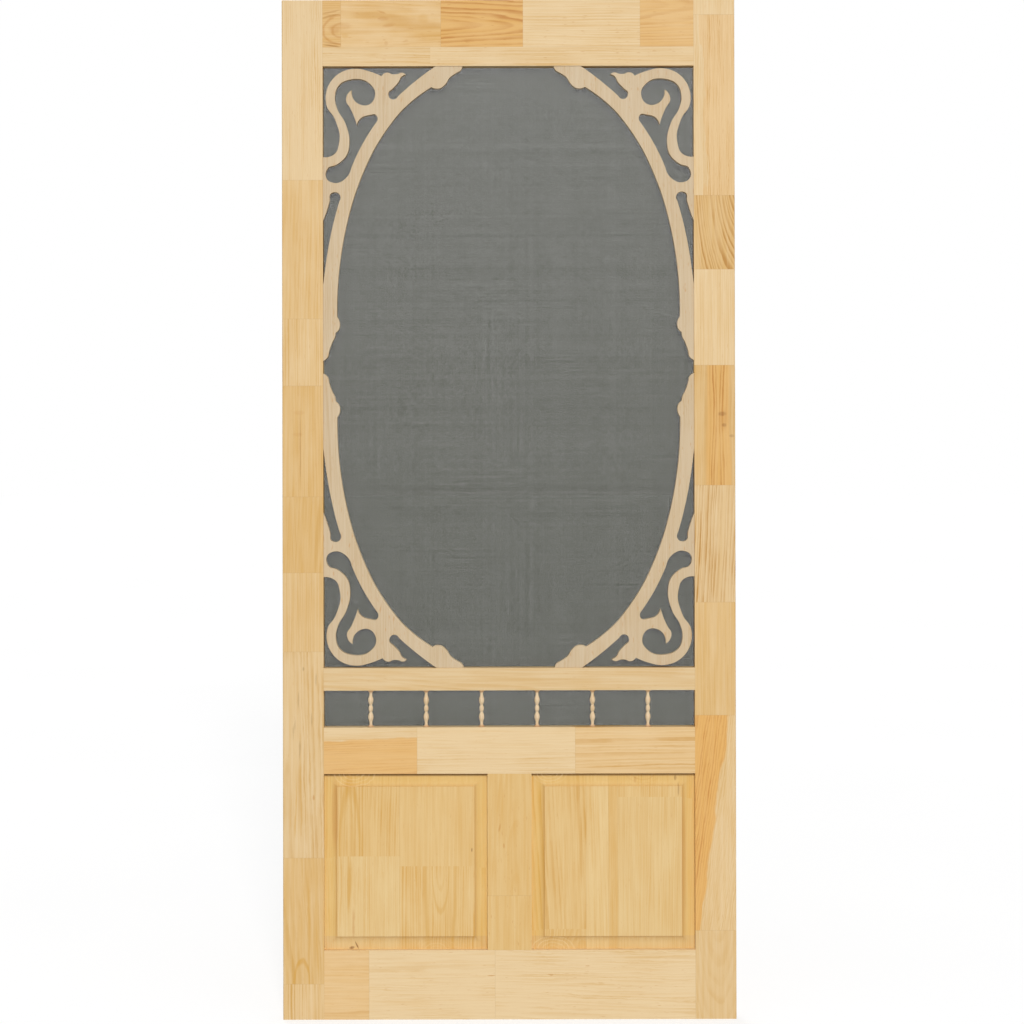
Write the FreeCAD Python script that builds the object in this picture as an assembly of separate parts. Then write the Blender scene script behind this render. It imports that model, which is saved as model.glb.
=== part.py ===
import FreeCAD, Part
import math
import os
from FreeCAD import Vector

# Wooden screen door leaf, in millimetres.
# +X runs across the leaf from the hinge edge, +Y from the front face to the back face, +Z up from the sill.
# The origin is on the hinge edge, at the foot of the leaf and halfway through its thickness.

# Leaf
DOOR_WIDTH = 914.4
DOOR_HEIGHT = 2057.4
DOOR_THICKNESS = 28.6
OUTER_EDGE_EASE = 1.5

# Frame members, as wide as they show from the front
STILE_WIDTH = 82.5
TOP_RAIL_WIDTH = 133.4
SCREEN_RAIL_WIDTH = 45.2
LOCK_RAIL_WIDTH = 93.6
BOTTOM_RAIL_WIDTH = 139.7
MUNTIN_WIDTH = 88.9
SPINDLE_OPENING_HEIGHT = 74.4
PANEL_OPENING_HEIGHT = 355.6

# Mortise and tenon joints
TENON_LENGTH = 45.0
TENON_THICKNESS = 9.5
TENON_EDGE_SHOULDER = 12.0
MORTISE_END_GAP = 1.0

# Raised panels and the groove that they float in
PANEL_GROOVE_WIDTH = 9.5
PANEL_GROOVE_DEPTH = 10.0
PANEL_SIDE_CLEARANCE = 0.15
PANEL_END_GAP = 1.5
PANEL_FIELD_THICKNESS = 19.0
PANEL_FLAT_MARGIN = 12.0
PANEL_COVE_WIDTH = 14.5
PANEL_FIELD_STEP = 1.6
STUB_TENON_END_GAP = 0.5

# Screens, the rebate at the back that they lie in, and the cord that holds them
SCREEN_THICKNESS = 0.4
REBATE_WIDTH = 10.0
REBATE_DEPTH = 6.0
CORD_GROOVE_INSET = 3.5
CORD_GROOVE_WIDTH = 4.4
CORD_GROOVE_DEPTH = 4.2
CORD_CLEARANCE = 0.1
CORD_FLATS = 8

# Turned spindles
SPINDLE_COUNT = 6
SPINDLE_PITCH = 112.0
SPINDLE_SETBACK = 7.5
SPINDLE_FLATS = 14
SPINDLE_DOWEL_RADIUS = 3.0
SPINDLE_DOWEL_LENGTH = 8.0
SPINDLE_HOLE_CLEARANCE = 0.1
SPINDLE_HOLE_END_GAP = 1.0
SPINDLE_FOOT_RADIUS = 6.2
SPINDLE_FOOT_HEIGHT = 1.6
SPINDLE_NECK_RADIUS = 3.1
SPINDLE_VASE_RADIUS = 5.7
SPINDLE_VASE_SHOULDER_RADIUS = 4.8
SPINDLE_WAIST_RADIUS = 3.6
SPINDLE_BEAD_RADIUS = 4.7

# Fretwork brackets
BRACKET_THICKNESS = 12.7
BRACKET_SETBACK = 1.5
BRACKET_RAIL_GAP = 183.4
BRACKET_STILE_GAP = 24.8

# Places that follow from the sizes above
FRONT = -DOOR_THICKNESS / 2
BACK = DOOR_THICKNESS / 2
OPENING_LEFT = STILE_WIDTH
OPENING_RIGHT = DOOR_WIDTH - STILE_WIDTH
OPENING_WIDTH = OPENING_RIGHT - OPENING_LEFT
PANEL_BOTTOM = BOTTOM_RAIL_WIDTH
PANEL_TOP = PANEL_BOTTOM + PANEL_OPENING_HEIGHT
SPINDLE_BOTTOM = PANEL_TOP + LOCK_RAIL_WIDTH
SPINDLE_TOP = SPINDLE_BOTTOM + SPINDLE_OPENING_HEIGHT
SCREEN_BOTTOM = SPINDLE_TOP + SCREEN_RAIL_WIDTH
SCREEN_TOP = DOOR_HEIGHT - TOP_RAIL_WIDTH
MUNTIN_LEFT = (DOOR_WIDTH - MUNTIN_WIDTH) / 2
MUNTIN_RIGHT = MUNTIN_LEFT + MUNTIN_WIDTH
REBATE_FLOOR = BACK - REBATE_DEPTH
CORD_GROOVE_FLOOR = REBATE_FLOOR - CORD_GROOVE_DEPTH
SPINDLE_AXIS_Y = FRONT + SPINDLE_SETBACK

# Rails by name: foot and top of each
RAILS = {
    "bottom_rail": (0.0, PANEL_BOTTOM),
    "lock_rail": (PANEL_TOP, SPINDLE_BOTTOM),
    "screen_rail": (SPINDLE_TOP, SCREEN_BOTTOM),
    "top_rail": (SCREEN_TOP, DOOR_HEIGHT),
}

# Screened openings by name: foot and top of each
SCREENED_OPENINGS = {
    "lower": (SPINDLE_BOTTOM, SPINDLE_TOP),
    "upper": (SCREEN_BOTTOM, SCREEN_TOP),
}

# The bracket's drawing: each point's distance from the stile, then from the rail.
# The rib's edge along the oval is part of one ellipse, and its back along the stile is part of another.
OVAL_CENTRE = (300.0, 497.0)
OVAL_RADII = (271.5, 476.4)
RIB_BACK_CENTRE = (294.5, 528.5)
RIB_BACK_RADII = (297.7, 535.4)
RIB_BACK_AT_STILE = 442.0
ELLIPSE_SPANS = 5
STILE_FOOT_TAIL = [(0, 594), (9, 587), (12.7, 573), (18.5, 557), (24, 546), (25.5, 537)]
STILE_FOOT_BEAD = [(25.5, 537), (32, 530.5), (34, 523), (28.5, 505)]
RAIL_FOOT = [(219.5, 42.3), (237, 44.7), (248, 36.5), (257, 23), (271, 13.3), (279, 8.5), (283, 0)]
RIB_TO_RAIL = [(228, 0), (188, 29.5), (152, 60.5)]
FAN_GAP = [(152, 60.5), (139, 66.2), (132.8, 54.5), (142.5, 44), (153.5, 31.5), (158.5, 22), (168, 17)]
FAN_TOP = [(168, 17), (161, 12.9), (150, 15.8), (140.5, 16), (131.5, 12.6), (119, 19.8)]
SCROLL_BACK = [(119, 19.8), (95, 10.3), (66, 4.6), (36, 12.5), (12, 38), (7.2, 77), (25, 107.5), (33.6, 150),
               (22, 178), (0, 183)]
SLOT = [(0, 313), (13.2, 274), (17.5, 255.8), (31, 256), (33.3, 272)]
# The window between the scroll and the rib, and the split leaf that grows into it
WINDOW_RIB = [(109.5, 111), (82, 153.5), (57.3, 205)]
WINDOW_BULB = [(57.3, 205), (45, 227), (25, 235.2), (7.6, 226), (9.5, 206.5), (29, 197.6), (48, 179.5),
               (53.9, 152), (45, 113), (29.5, 86), (24.6, 64), (33, 38), (60, 26), (91, 32), (106, 57),
               (93, 77.3), (72, 75.5), (61.7, 65), (58.5, 48)]
LEAF_BACK = [(58.5, 48), (47, 66), (57, 87), (62.5, 99.5), (69, 119)]
LEAF_FRONT = [(69, 119), (77, 104.5), (92, 98.9), (108.5, 99.5), (109.5, 111)]


def block(x, y, z):
    """Solid box between two values along each axis."""
    corner = Vector(x[0], y[0], z[0])
    return Part.makeBox(x[1] - x[0], y[1] - y[0], z[1] - z[0], corner)


def export(name, shape):
    shape.exportStep(os.path.join("parts", name + ".step"))


# Smooth lines

# Headings that differ by less than this count as one even bend
EVEN_BEND = 0.06


def arc(start, heading, end):
    """Arc that leaves the start in a heading, a unit vector, and passes through the end."""
    chord = end - start
    along = Vector(chord).normalize()
    ahead = heading.dot(along)
    side = heading - along * ahead
    if side.Length < 1e-3:
        return Part.makeLine(start, end)
    rise = chord.Length / 2 * side.Length / (1 + ahead)
    middle = (start + end) * 0.5 + side.normalize() * rise
    return Part.Arc(start, middle, end).toShape()


def mirrored(heading, step):
    """Heading at the other end of the one arc that spans a step."""
    along = Vector(step).normalize()
    return along * (2 * along.dot(heading)) - heading


def headings(points):
    """Heading at each point: that of the circle through it and its neighbours."""
    steps = [after - before for before, after in zip(points, points[1:])]
    found = []
    for step, following in zip(steps, steps[1:]):
        ratio = following.Length / step.Length
        found.append((step * ratio + following * (1 / ratio)).normalize())
    return [mirrored(found[0], steps[0])] + found + [mirrored(found[-1], steps[-1])]


def smooth(points):
    """Chain of arcs without corners through all the points: one or two arcs from each point to the next."""
    edges = []
    ways = headings(points)
    for start, leaving, end, arriving in zip(points, ways, points[1:], ways[1:]):
        step = end - start
        if (leaving - mirrored(arriving, step)).Length < EVEN_BEND:
            edges.append(arc(start, leaving, end))
            continue
        turn = 2 * (1 - leaving.dot(arriving))
        forward = step.dot(leaving + arriving)
        reach = step.dot(step) / (forward + math.sqrt(forward**2 + turn * step.dot(step)))
        meeting = (start + end + (leaving - arriving) * reach) * 0.5
        edges.append(arc(start, leaving, meeting))
        edges.append(arc(end, arriving * -1, meeting))
    return edges


# Frame

def tenon_span(rail):
    """Foot and top of a rail's tenons."""
    foot, top = RAILS[rail]
    return foot + TENON_EDGE_SHOULDER, top - TENON_EDGE_SHOULDER


def around_opening(foot, top, margin, y):
    """Slab over a screened opening and a margin round it."""
    return block((OPENING_LEFT - margin, OPENING_RIGHT + margin), y, (foot - margin, top + margin))


def screen_recess(foot, top):
    """Rebate at the back of one screened opening, with the cord's groove in its floor."""
    rebate = around_opening(foot, top, REBATE_WIDTH, (REBATE_FLOOR, BACK))
    depth = (CORD_GROOVE_FLOOR, REBATE_FLOOR)
    outside = around_opening(foot, top, CORD_GROOVE_INSET + CORD_GROOVE_WIDTH, depth)
    inside = around_opening(foot, top, CORD_GROOVE_INSET, depth)
    return rebate.fuse(outside.cut(inside))


def panel_groove():
    """Room that the panels' tongues take out of the stiles and rails around them."""
    return block(
        (OPENING_LEFT - PANEL_GROOVE_DEPTH, OPENING_RIGHT + PANEL_GROOVE_DEPTH),
        (-PANEL_GROOVE_WIDTH / 2, PANEL_GROOVE_WIDTH / 2),
        (PANEL_BOTTOM - PANEL_GROOVE_DEPTH, PANEL_TOP + PANEL_GROOVE_DEPTH),
    )


def spindle_places():
    """Where the spindles stand along the opening."""
    first = DOOR_WIDTH / 2 - SPINDLE_PITCH * (SPINDLE_COUNT - 1) / 2
    return [first + SPINDLE_PITCH * i for i in range(SPINDLE_COUNT)]


def spindle_holes():
    """Blind holes for the spindles' dowels, in the rails above and below them."""
    reach = SPINDLE_DOWEL_LENGTH + SPINDLE_HOLE_END_GAP
    radius = SPINDLE_DOWEL_RADIUS + SPINDLE_HOLE_CLEARANCE
    height = SPINDLE_OPENING_HEIGHT + 2 * reach
    return [
        Part.makeCylinder(radius, height, Vector(x, SPINDLE_AXIS_Y, SPINDLE_BOTTOM - reach))
        for x in spindle_places()
    ]


def recesses():
    """Everything that the screens, panels and spindles take out of the frame."""
    cuts = [screen_recess(foot, top) for foot, top in SCREENED_OPENINGS.values()]
    return cuts + [panel_groove()] + spindle_holes()


def stile(outer, inner, cuts):
    """Full-height upright: its outer corners eased, with a mortise for each rail."""
    post = block((min(outer, inner), max(outer, inner)), (FRONT, BACK), (0, DOOR_HEIGHT))
    corners = [
        edge
        for edge in post.Edges
        if abs(edge.CenterOfMass.x - outer) < 1e-6 and abs(edge.tangentAt(edge.FirstParameter).z) > 0.5
    ]
    post = post.makeChamfer(OUTER_EDGE_EASE, corners)
    inward = 1 if outer > inner else -1
    bottom = inner + (TENON_LENGTH + MORTISE_END_GAP) * inward
    mortises = [
        block(
            (min(inner, bottom), max(inner, bottom)),
            (-TENON_THICKNESS / 2, TENON_THICKNESS / 2),
            tenon_span(rail),
        )
        for rail in RAILS
    ]
    return post.cut(mortises + cuts)


def rail(name, cuts):
    """Cross member between the stiles, with a tenon at each end."""
    bar = block((OPENING_LEFT, OPENING_RIGHT), (FRONT, BACK), RAILS[name])
    tenon = block(
        (OPENING_LEFT - TENON_LENGTH, OPENING_RIGHT + TENON_LENGTH),
        (-TENON_THICKNESS / 2, TENON_THICKNESS / 2),
        tenon_span(name),
    )
    return bar.cut(cuts).fuse(tenon).removeSplitter()


def muntin():
    """Short upright between the panels, grooved on both sides, with a stub tenon at each end."""
    height = (PANEL_BOTTOM, PANEL_TOP)
    bar = block((MUNTIN_LEFT, MUNTIN_RIGHT), (FRONT, BACK), height)
    thickness = (-PANEL_GROOVE_WIDTH / 2, PANEL_GROOVE_WIDTH / 2)
    core_left = MUNTIN_LEFT + PANEL_GROOVE_DEPTH
    core_right = MUNTIN_RIGHT - PANEL_GROOVE_DEPTH
    grooves = [
        block((MUNTIN_LEFT, core_left), thickness, height),
        block((core_right, MUNTIN_RIGHT), thickness, height),
    ]
    stub = PANEL_GROOVE_DEPTH - STUB_TENON_END_GAP
    tenon = block((core_left, core_right), thickness, (PANEL_BOTTOM - stub, PANEL_TOP + stub))
    return bar.cut(grooves).fuse(tenon).removeSplitter()


# Raised panels

def panel_prism(length, place, sweep):
    """Raised panel's cross section, alike at both ends and on both faces, swept along a vector.

    The place function puts a distance along the section and a distance from its middle plane into space.
    """
    tongue = PANEL_GROOVE_WIDTH / 2 - PANEL_SIDE_CLEARANCE
    field = PANEL_FIELD_THICKNESS / 2
    shoulder = field - PANEL_FIELD_STEP
    cove_start = PANEL_GROOVE_DEPTH - PANEL_END_GAP + PANEL_FLAT_MARGIN
    cove_end = cove_start + PANEL_COVE_WIDTH
    edges = []
    for face in (-1, 1):
        for end, inward in ((0, 1), (length, -1)):
            margin = place(end, face * tongue)
            start = place(end + inward * cove_start, face * tongue)
            finish = place(end + inward * cove_end, face * shoulder)
            step = place(end + inward * cove_end, face * field)
            cove = arc(start, (start - margin).normalize(), finish)
            edges += [Part.makeLine(margin, start), cove, Part.makeLine(finish, step)]
        edges.append(Part.makeLine(place(cove_end, face * field), place(length - cove_end, face * field)))
    for end in (0, length):
        edges.append(Part.makeLine(place(end, -tongue), place(end, tongue)))
    outline = Part.Wire(Part.__sortEdges__(edges))
    return Part.Face(outline).extrude(sweep)


def raised_panel(left, right):
    """Panel raised on both faces, with mitred coves: what two crossed prisms have in common."""
    tongue = PANEL_GROOVE_DEPTH - PANEL_END_GAP
    x, z = left - tongue, PANEL_BOTTOM - tongue
    width = right - left + 2 * tongue
    height = PANEL_OPENING_HEIGHT + 2 * tongue
    upright = panel_prism(width, lambda along, y: Vector(x + along, y, z), Vector(0, 0, height))
    level = panel_prism(height, lambda along, y: Vector(x, y, z + along), Vector(width, 0, 0))
    return upright.common(level).removeSplitter()


# Screens and the cords that hold them

def screen(foot, top):
    """Stretched sheet on the rebate's floor, as far as the cord's groove."""
    return around_opening(foot, top, CORD_GROOVE_INSET, (REBATE_FLOOR, REBATE_FLOOR + SCREEN_THICKNESS))


def cord(foot, top):
    """Flat-sided cord bedded in its groove, all the way round one opening."""
    half = CORD_GROOVE_WIDTH / 2 - CORD_CLEARANCE
    margin = CORD_GROOVE_INSET + CORD_GROOVE_WIDTH / 2
    y = CORD_GROOVE_FLOOR + half
    left, right = OPENING_LEFT - margin, OPENING_RIGHT + margin
    low, high = foot - margin, top + margin
    middle = Vector(DOOR_WIDTH / 2, y, low)
    corners = [Vector(right, y, low), Vector(right, y, high), Vector(left, y, high), Vector(left, y, low)]
    path = Part.makePolygon([middle] + corners + [middle])
    turn = 2 * math.pi / CORD_FLATS
    radius = half / math.cos(turn / 2)
    angles = [turn * (i + 0.5) for i in range(CORD_FLATS + 1)]
    section = Part.makePolygon([middle + Vector(0, math.sin(a), math.cos(a)) * radius for a in angles])
    mitred_corners = 1
    return path.makePipeShell([section], True, False, mitred_corners).removeSplitter()


# Turned spindles

def spindle(x):
    """Two vases either side of a bead, with a foot and a dowel at each end, turned in narrow flats."""
    length = SPINDLE_OPENING_HEIGHT
    half = [
        (SPINDLE_DOWEL_RADIUS, -SPINDLE_DOWEL_LENGTH),
        (SPINDLE_DOWEL_RADIUS, 0),
        (SPINDLE_FOOT_RADIUS, 0),
        (SPINDLE_FOOT_RADIUS, SPINDLE_FOOT_HEIGHT),
        (SPINDLE_NECK_RADIUS, 0.11 * length),
        (SPINDLE_VASE_SHOULDER_RADIUS, 0.2 * length),
        (SPINDLE_VASE_RADIUS, 0.26 * length),
        (SPINDLE_VASE_RADIUS, 0.31 * length),
        (SPINDLE_VASE_SHOULDER_RADIUS, 0.36 * length),
        (SPINDLE_WAIST_RADIUS, 0.43 * length),
        (SPINDLE_BEAD_RADIUS, 0.48 * length),
    ]
    profile = half + [(radius, length - height) for radius, height in reversed(half)]
    turns = [2 * math.pi * (i + 0.5) / SPINDLE_FLATS for i in range(SPINDLE_FLATS)]
    rings = [
        [
            Vector(x + radius * math.cos(turn), SPINDLE_AXIS_Y + radius * math.sin(turn), SPINDLE_BOTTOM + height)
            for turn in turns
        ]
        for radius, height in profile
    ]
    flats = [rings[0], rings[-1]]
    for below, above in zip(rings, rings[1:]):
        flats += [[below[i - 1], below[i], above[i], above[i - 1]] for i in range(SPINDLE_FLATS)]
    return Part.Solid(Part.Shell([Part.Face(Part.makePolygon(flat + flat[:1])) for flat in flats]))


# Fretwork brackets

def ellipse_run(centre, radii, start, end):
    """Points along an ellipse's side next to the stile, from one drawn point beside it to another."""
    first, last = (math.asin((point[1] - centre[1]) / radii[1]) for point in (start, end))
    turns = [first + (last - first) * i / ELLIPSE_SPANS for i in range(1, ELLIPSE_SPANS)]
    run = [(centre[0] - radii[0] * math.cos(turn), centre[1] + radii[1] * math.sin(turn)) for turn in turns]
    return [start] + run + [end]


def bracket(corner_x, corner_z, across, up):
    """Sawn bracket in one corner of the upper opening. Across and up are 1 or -1: the way it grows.

    The drawing is stretched to the reach that the opening leaves along the rail and along the stile.
    """
    stile_end = (0, RIB_BACK_AT_STILE)
    reach_u = (OPENING_WIDTH - BRACKET_RAIL_GAP) / 2
    reach_v = (SCREEN_TOP - SCREEN_BOTTOM - BRACKET_STILE_GAP) / 2
    stretch_u = across * reach_u / RAIL_FOOT[-1][0]
    stretch_v = up * reach_v / STILE_FOOT_TAIL[0][1]
    front = FRONT + BRACKET_SETBACK

    def put(points):
        return [Vector(corner_x + u * stretch_u, front, corner_z + v * stretch_v) for u, v in points]

    def line(start, end):
        return [Part.makeLine(*put([start, end]))]

    edge = smooth(put(STILE_FOOT_TAIL)) + smooth(put(STILE_FOOT_BEAD))
    edge += smooth(put(ellipse_run(OVAL_CENTRE, OVAL_RADII, STILE_FOOT_BEAD[-1], RAIL_FOOT[0])))
    edge += smooth(put(RAIL_FOOT)) + line(RAIL_FOOT[-1], RIB_TO_RAIL[0])
    edge += smooth(put(RIB_TO_RAIL)) + smooth(put(FAN_GAP)) + smooth(put(FAN_TOP))
    edge += smooth(put(SCROLL_BACK)) + line(SCROLL_BACK[-1], SLOT[0]) + smooth(put(SLOT))
    edge += smooth(put(ellipse_run(RIB_BACK_CENTRE, RIB_BACK_RADII, SLOT[-1], stile_end)))
    edge += line(stile_end, STILE_FOOT_TAIL[0])
    window = smooth(put(WINDOW_RIB)) + smooth(put(WINDOW_BULB)) + smooth(put(LEAF_BACK)) + smooth(put(LEAF_FRONT))
    depth = Vector(0, BRACKET_THICKNESS, 0)
    board, hole = (Part.Face(Part.Wire(Part.__sortEdges__(loop))).extrude(depth) for loop in (edge, window))
    return board.cut(hole)


def build():
    os.makedirs("parts", exist_ok=True)
    cuts = recesses()
    export("left_stile", stile(0, OPENING_LEFT, cuts))
    export("right_stile", stile(DOOR_WIDTH, OPENING_RIGHT, cuts))
    for name in RAILS:
        export(name, rail(name, cuts))
    export("centre_muntin", muntin())
    export("left_panel", raised_panel(OPENING_LEFT, MUNTIN_LEFT))
    export("right_panel", raised_panel(MUNTIN_RIGHT, OPENING_RIGHT))
    for name, (foot, top) in SCREENED_OPENINGS.items():
        export(name + "_screen", screen(foot, top))
        export(name + "_spline", cord(foot, top))
    for i, x in enumerate(spindle_places()):
        export(f"spindle_{i + 1}", spindle(x))
    for level, z, up in (("upper", SCREEN_TOP, -1), ("lower", SCREEN_BOTTOM, 1)):
        for side, x, across in (("left", OPENING_LEFT, 1), ("right", OPENING_RIGHT, -1)):
            export(f"{level}_{side}_bracket", bracket(x, z, across, up))


build()
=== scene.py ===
import math
from collections import namedtuple

import bmesh
import bpy
from mathutils import Euler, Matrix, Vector


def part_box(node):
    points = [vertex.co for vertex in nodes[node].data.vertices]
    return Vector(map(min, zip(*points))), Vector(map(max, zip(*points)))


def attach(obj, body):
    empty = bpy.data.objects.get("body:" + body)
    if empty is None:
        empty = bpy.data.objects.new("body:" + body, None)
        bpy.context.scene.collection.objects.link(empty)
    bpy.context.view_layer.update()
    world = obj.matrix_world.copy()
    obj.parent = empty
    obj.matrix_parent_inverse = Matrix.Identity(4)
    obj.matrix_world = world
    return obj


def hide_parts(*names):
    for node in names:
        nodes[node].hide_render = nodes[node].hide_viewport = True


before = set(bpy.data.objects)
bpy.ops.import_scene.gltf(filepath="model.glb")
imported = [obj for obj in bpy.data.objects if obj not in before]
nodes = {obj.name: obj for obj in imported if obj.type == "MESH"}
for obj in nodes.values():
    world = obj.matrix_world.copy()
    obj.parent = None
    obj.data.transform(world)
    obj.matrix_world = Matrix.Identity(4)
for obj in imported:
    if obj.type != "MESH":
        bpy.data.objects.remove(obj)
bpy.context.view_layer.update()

MM = 0.001

# The leaf, in mm: its height and thickness, its middle, the stiles' inner edges, and the muntin's two edges
LEAF_HEIGHT = 2057.4
LEAF_THICKNESS = 28.6
MIDDLE = 457.2
LEFT_EDGE, RIGHT_EDGE = 82.5, 831.9
MUNTIN_LEFT, MUNTIN_RIGHT = 412.75, 501.65


# Node trees

class Wire:
    """One output in a node tree. Sums, products and powers of wires and numbers add Math nodes."""

    def __init__(self, tree, socket):
        self.tree = tree
        self.socket = socket

    def output(self, name):
        """Another output of the same node."""
        return Wire(self.tree, self.socket.node.outputs[name])

    def math(self, operation, *values):
        return self.tree.node("ShaderNodeMath", {"operation": operation}, dict(enumerate(values)))

    def __add__(self, other):
        return self.math("ADD", self, other)

    def __radd__(self, other):
        return self.math("ADD", other, self)

    def __sub__(self, other):
        return self.math("SUBTRACT", self, other)

    def __rsub__(self, other):
        return self.math("SUBTRACT", other, self)

    def __mul__(self, other):
        return self.math("MULTIPLY", self, other)

    def __rmul__(self, other):
        return self.math("MULTIPLY", other, self)

    def __truediv__(self, other):
        return self.math("DIVIDE", self, other)

    def __rtruediv__(self, other):
        return self.math("DIVIDE", other, self)

    def __pow__(self, other):
        return self.math("POWER", self, other)

    def __abs__(self):
        return self.math("ABSOLUTE", self)

    def __gt__(self, other):
        return self.math("GREATER_THAN", self, other)

    def floor(self):
        return self.math("FLOOR", self)

    def fraction(self):
        return self.math("FRACT", self)

    def larger(self, other):
        return self.math("MAXIMUM", self, other)

    def rise(self, low, high):
        """0 up to low, 1 from high on, and eased between."""
        inputs = {"Value": self, "From Min": low, "From Max": high}
        return self.tree.node("ShaderNodeMapRange", {"interpolation_type": "SMOOTHSTEP"}, inputs)


class Tree:
    """A node tree in the making."""

    def __init__(self, tree):
        self.tree = tree

    def node(self, kind, settings=None, inputs=None, output=0):
        """Adds a node: first its settings, with a ramp's stops or a curve's points, then its inputs."""
        made = self.tree.nodes.new(kind)
        for name, value in (settings or {}).items():
            if name == "stops":
                ramp = made.color_ramp
                ramp.interpolation = "CONSTANT"
                while len(ramp.elements) < len(value):
                    ramp.elements.new(1.0)
                for element, (position, colour) in zip(ramp.elements, value):
                    element.position = position
                    element.color = colour
            elif name == "points":
                curve = made.mapping.curves[0]
                while len(curve.points) < len(value):
                    curve.points.new(1.0, 0.0)
                for point, (place, height, handle) in zip(curve.points, value):
                    point.location = (place, height)
                    point.handle_type = handle
                made.mapping.update()
            else:
                setattr(made, name, value)
        for name, value in (inputs or {}).items():
            for part in value if isinstance(value, list) else [value]:
                if isinstance(part, Wire):
                    self.tree.links.new(part.socket, made.inputs[name])
                else:
                    made.inputs[name].default_value = part
        return Wire(self, made.outputs[output]) if made.outputs else None

    def vector(self, x, y, z):
        return self.node("ShaderNodeCombineXYZ", inputs={0: x, 1: y, 2: z})

    def blend(self, share, first, second):
        """A colour between two others."""
        return self.node("ShaderNodeMix", {"data_type": "RGBA"}, {0: share, 6: first, 7: second}, 2)

    def noise(self, vector, scale, detail=2.0):
        inputs = {"Vector": vector, "Scale": scale, "Detail": detail}
        return self.node("ShaderNodeTexNoise", inputs=inputs)

    def chance(self, number):
        """A steady random value, 0 to 1, for each number."""
        return self.node("ShaderNodeTexWhiteNoise", {"noise_dimensions": "1D"}, {"W": number})


def tint(red, green, blue):
    """A colour given as a screen shows it, 0 to 255, in linear light."""
    return tuple(((c / 255 + 0.055) / 1.055) ** 2.4 for c in (red, green, blue)) + (1.0,)


class Finish(Tree):
    """A material in the making, on the piece's own coordinates in metres."""

    def __init__(self, name):
        self.material = bpy.data.materials.new(name)
        self.material.use_nodes = True
        super().__init__(self.material.node_tree)
        self.tree.nodes.clear()
        place = self.node("ShaderNodeTexCoord", output="Object")
        self.x = self.node("ShaderNodeSeparateXYZ", inputs={0: place})
        self.y = self.x.output("Y")
        self.z = self.x.output("Z")

    def surface(self, colour, roughness, height, relief, **constants):
        """The surface itself: relief is the depth of the height's bumps in metres."""
        bump = self.node("ShaderNodeBump", inputs={"Strength": 0.6, "Distance": relief, "Height": height})
        inputs = {"Base Color": colour, "Roughness": roughness, "Normal": bump}
        inputs.update({name.replace("_", " "): value for name, value in constants.items()})
        shader = self.node("ShaderNodeBsdfPrincipled", inputs=inputs)
        self.node("ShaderNodeOutputMaterial", inputs={"Surface": shader})
        return self.material


# Pine, sawn from finger-jointed blocks

# The colours of one kind of pine: two ends of its range, its late rings and its fibres
Pine = namedtuple("Pine", "pale honey late fibre")
FRAME_PINE = Pine(tint(236, 208, 162), tint(219, 174, 100), tint(208, 160, 80), tint(200, 154, 92))
PANEL_PINE = Pine(tint(234, 203, 146), tint(219, 172, 96), tint(216, 164, 78), tint(206, 158, 88))
FRETWORK_PINE = Pine(tint(220, 200, 169), tint(206, 178, 134), tint(190, 154, 108), tint(186, 153, 113))
SPINDLE_PINE = Pine(tint(238, 214, 178), tint(224, 190, 140), tint(208, 164, 104), tint(204, 164, 112))
HEARTWOOD = tint(232, 172, 78)
HEART_LATE = tint(196, 126, 58)
DARK_LATE = tint(182, 126, 58)
AMBER = tint(212, 160, 70)
WEATHERED = tint(160, 130, 86)
RESIN = tint(196, 134, 62)
KNOT = tint(124, 66, 20)
BLEACHED = tint(242, 216, 166)
GLUE = tint(150, 104, 58)
# Painted light on the panels' edges: a warm bounce light, a shade that also serves as a dark streak in the
# wood, and a shadow
PAINTED_BOUNCE = tint(234, 191, 96)
SHADE_AND_STREAK = tint(170, 116, 54)
PAINTED_SHADOW = tint(104, 64, 22)
# Partly burnished and partly painted shade, for the spindles' ends
BURNISHED_AND_SHADED = tint(186, 118, 52)

# A block of pine, from the end of the one before it to its own end along the member. Lengths are in mm.
# Tone goes from pale to honey, grain is how strongly the rings show, both 0 to 1, and pitch is their spacing.
# The pith lies across and behind the middle of the member and leans and slants along the block. Heart is the
# heartwood's radius and red its strength. Wave is how wavy the rings are, patch how patchy the tone is, and
# shade how weathered the block is.
Block = namedtuple(
    "Block", "end tone grain pitch across depth lean slant heart red wave patch shade",
    defaults=(0, 0, 0, 0.55, 1.0, 0.55, 0),
)

# A mark in the wood: its place along and across the member and its half length and half width, in mm, how
# strong it is, its colour and how far it slants. Rings makes it that many nested arches, which point up the
# member, or down it when negative, and swirl is how far, in mm, the growth rings bend round it.
Mark = namedtuple(
    "Mark", "along across long wide depth colour slant rings swirl",
    defaults=(KNOT, 0, 0, 0),
)

# How far noise bends the growth rings, in metres: the pith's slow drift, ripples, and a fine tremor
DRIFT, RIPPLE, TREMOR = 0.024, 0.005, 0.0016

# How far the heartwood's rim fades inwards and outwards, and how deep the grain stands out, in metres
RIM_INSIDE, RIM_OUTSIDE = 0.004, 0.001
GRAIN_RELIEF = 0.0002

# The widths in mm of the lines at finger joints, at glued edges and at the shoulders of a member
JOINT_LINE, GLUE_LINE, SHOULDER_LINE = 0.5, 0.4, 0.7

# The range that each of a block's values is packed into, for the ramps that hold four of them each
RAMPS = (
    {"tone": (0, 1), "grain": (0, 1), "pitch": (0, 0.02), "heart": (0, 0.5)},
    {"across": (-1, 1), "depth": (-1, 1), "lean": (-1, 1), "slant": (-1, 1)},
    {"red": (0, 1), "wave": (0, 5), "patch": (0, 2), "shade": (0, 1)},
)


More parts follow.
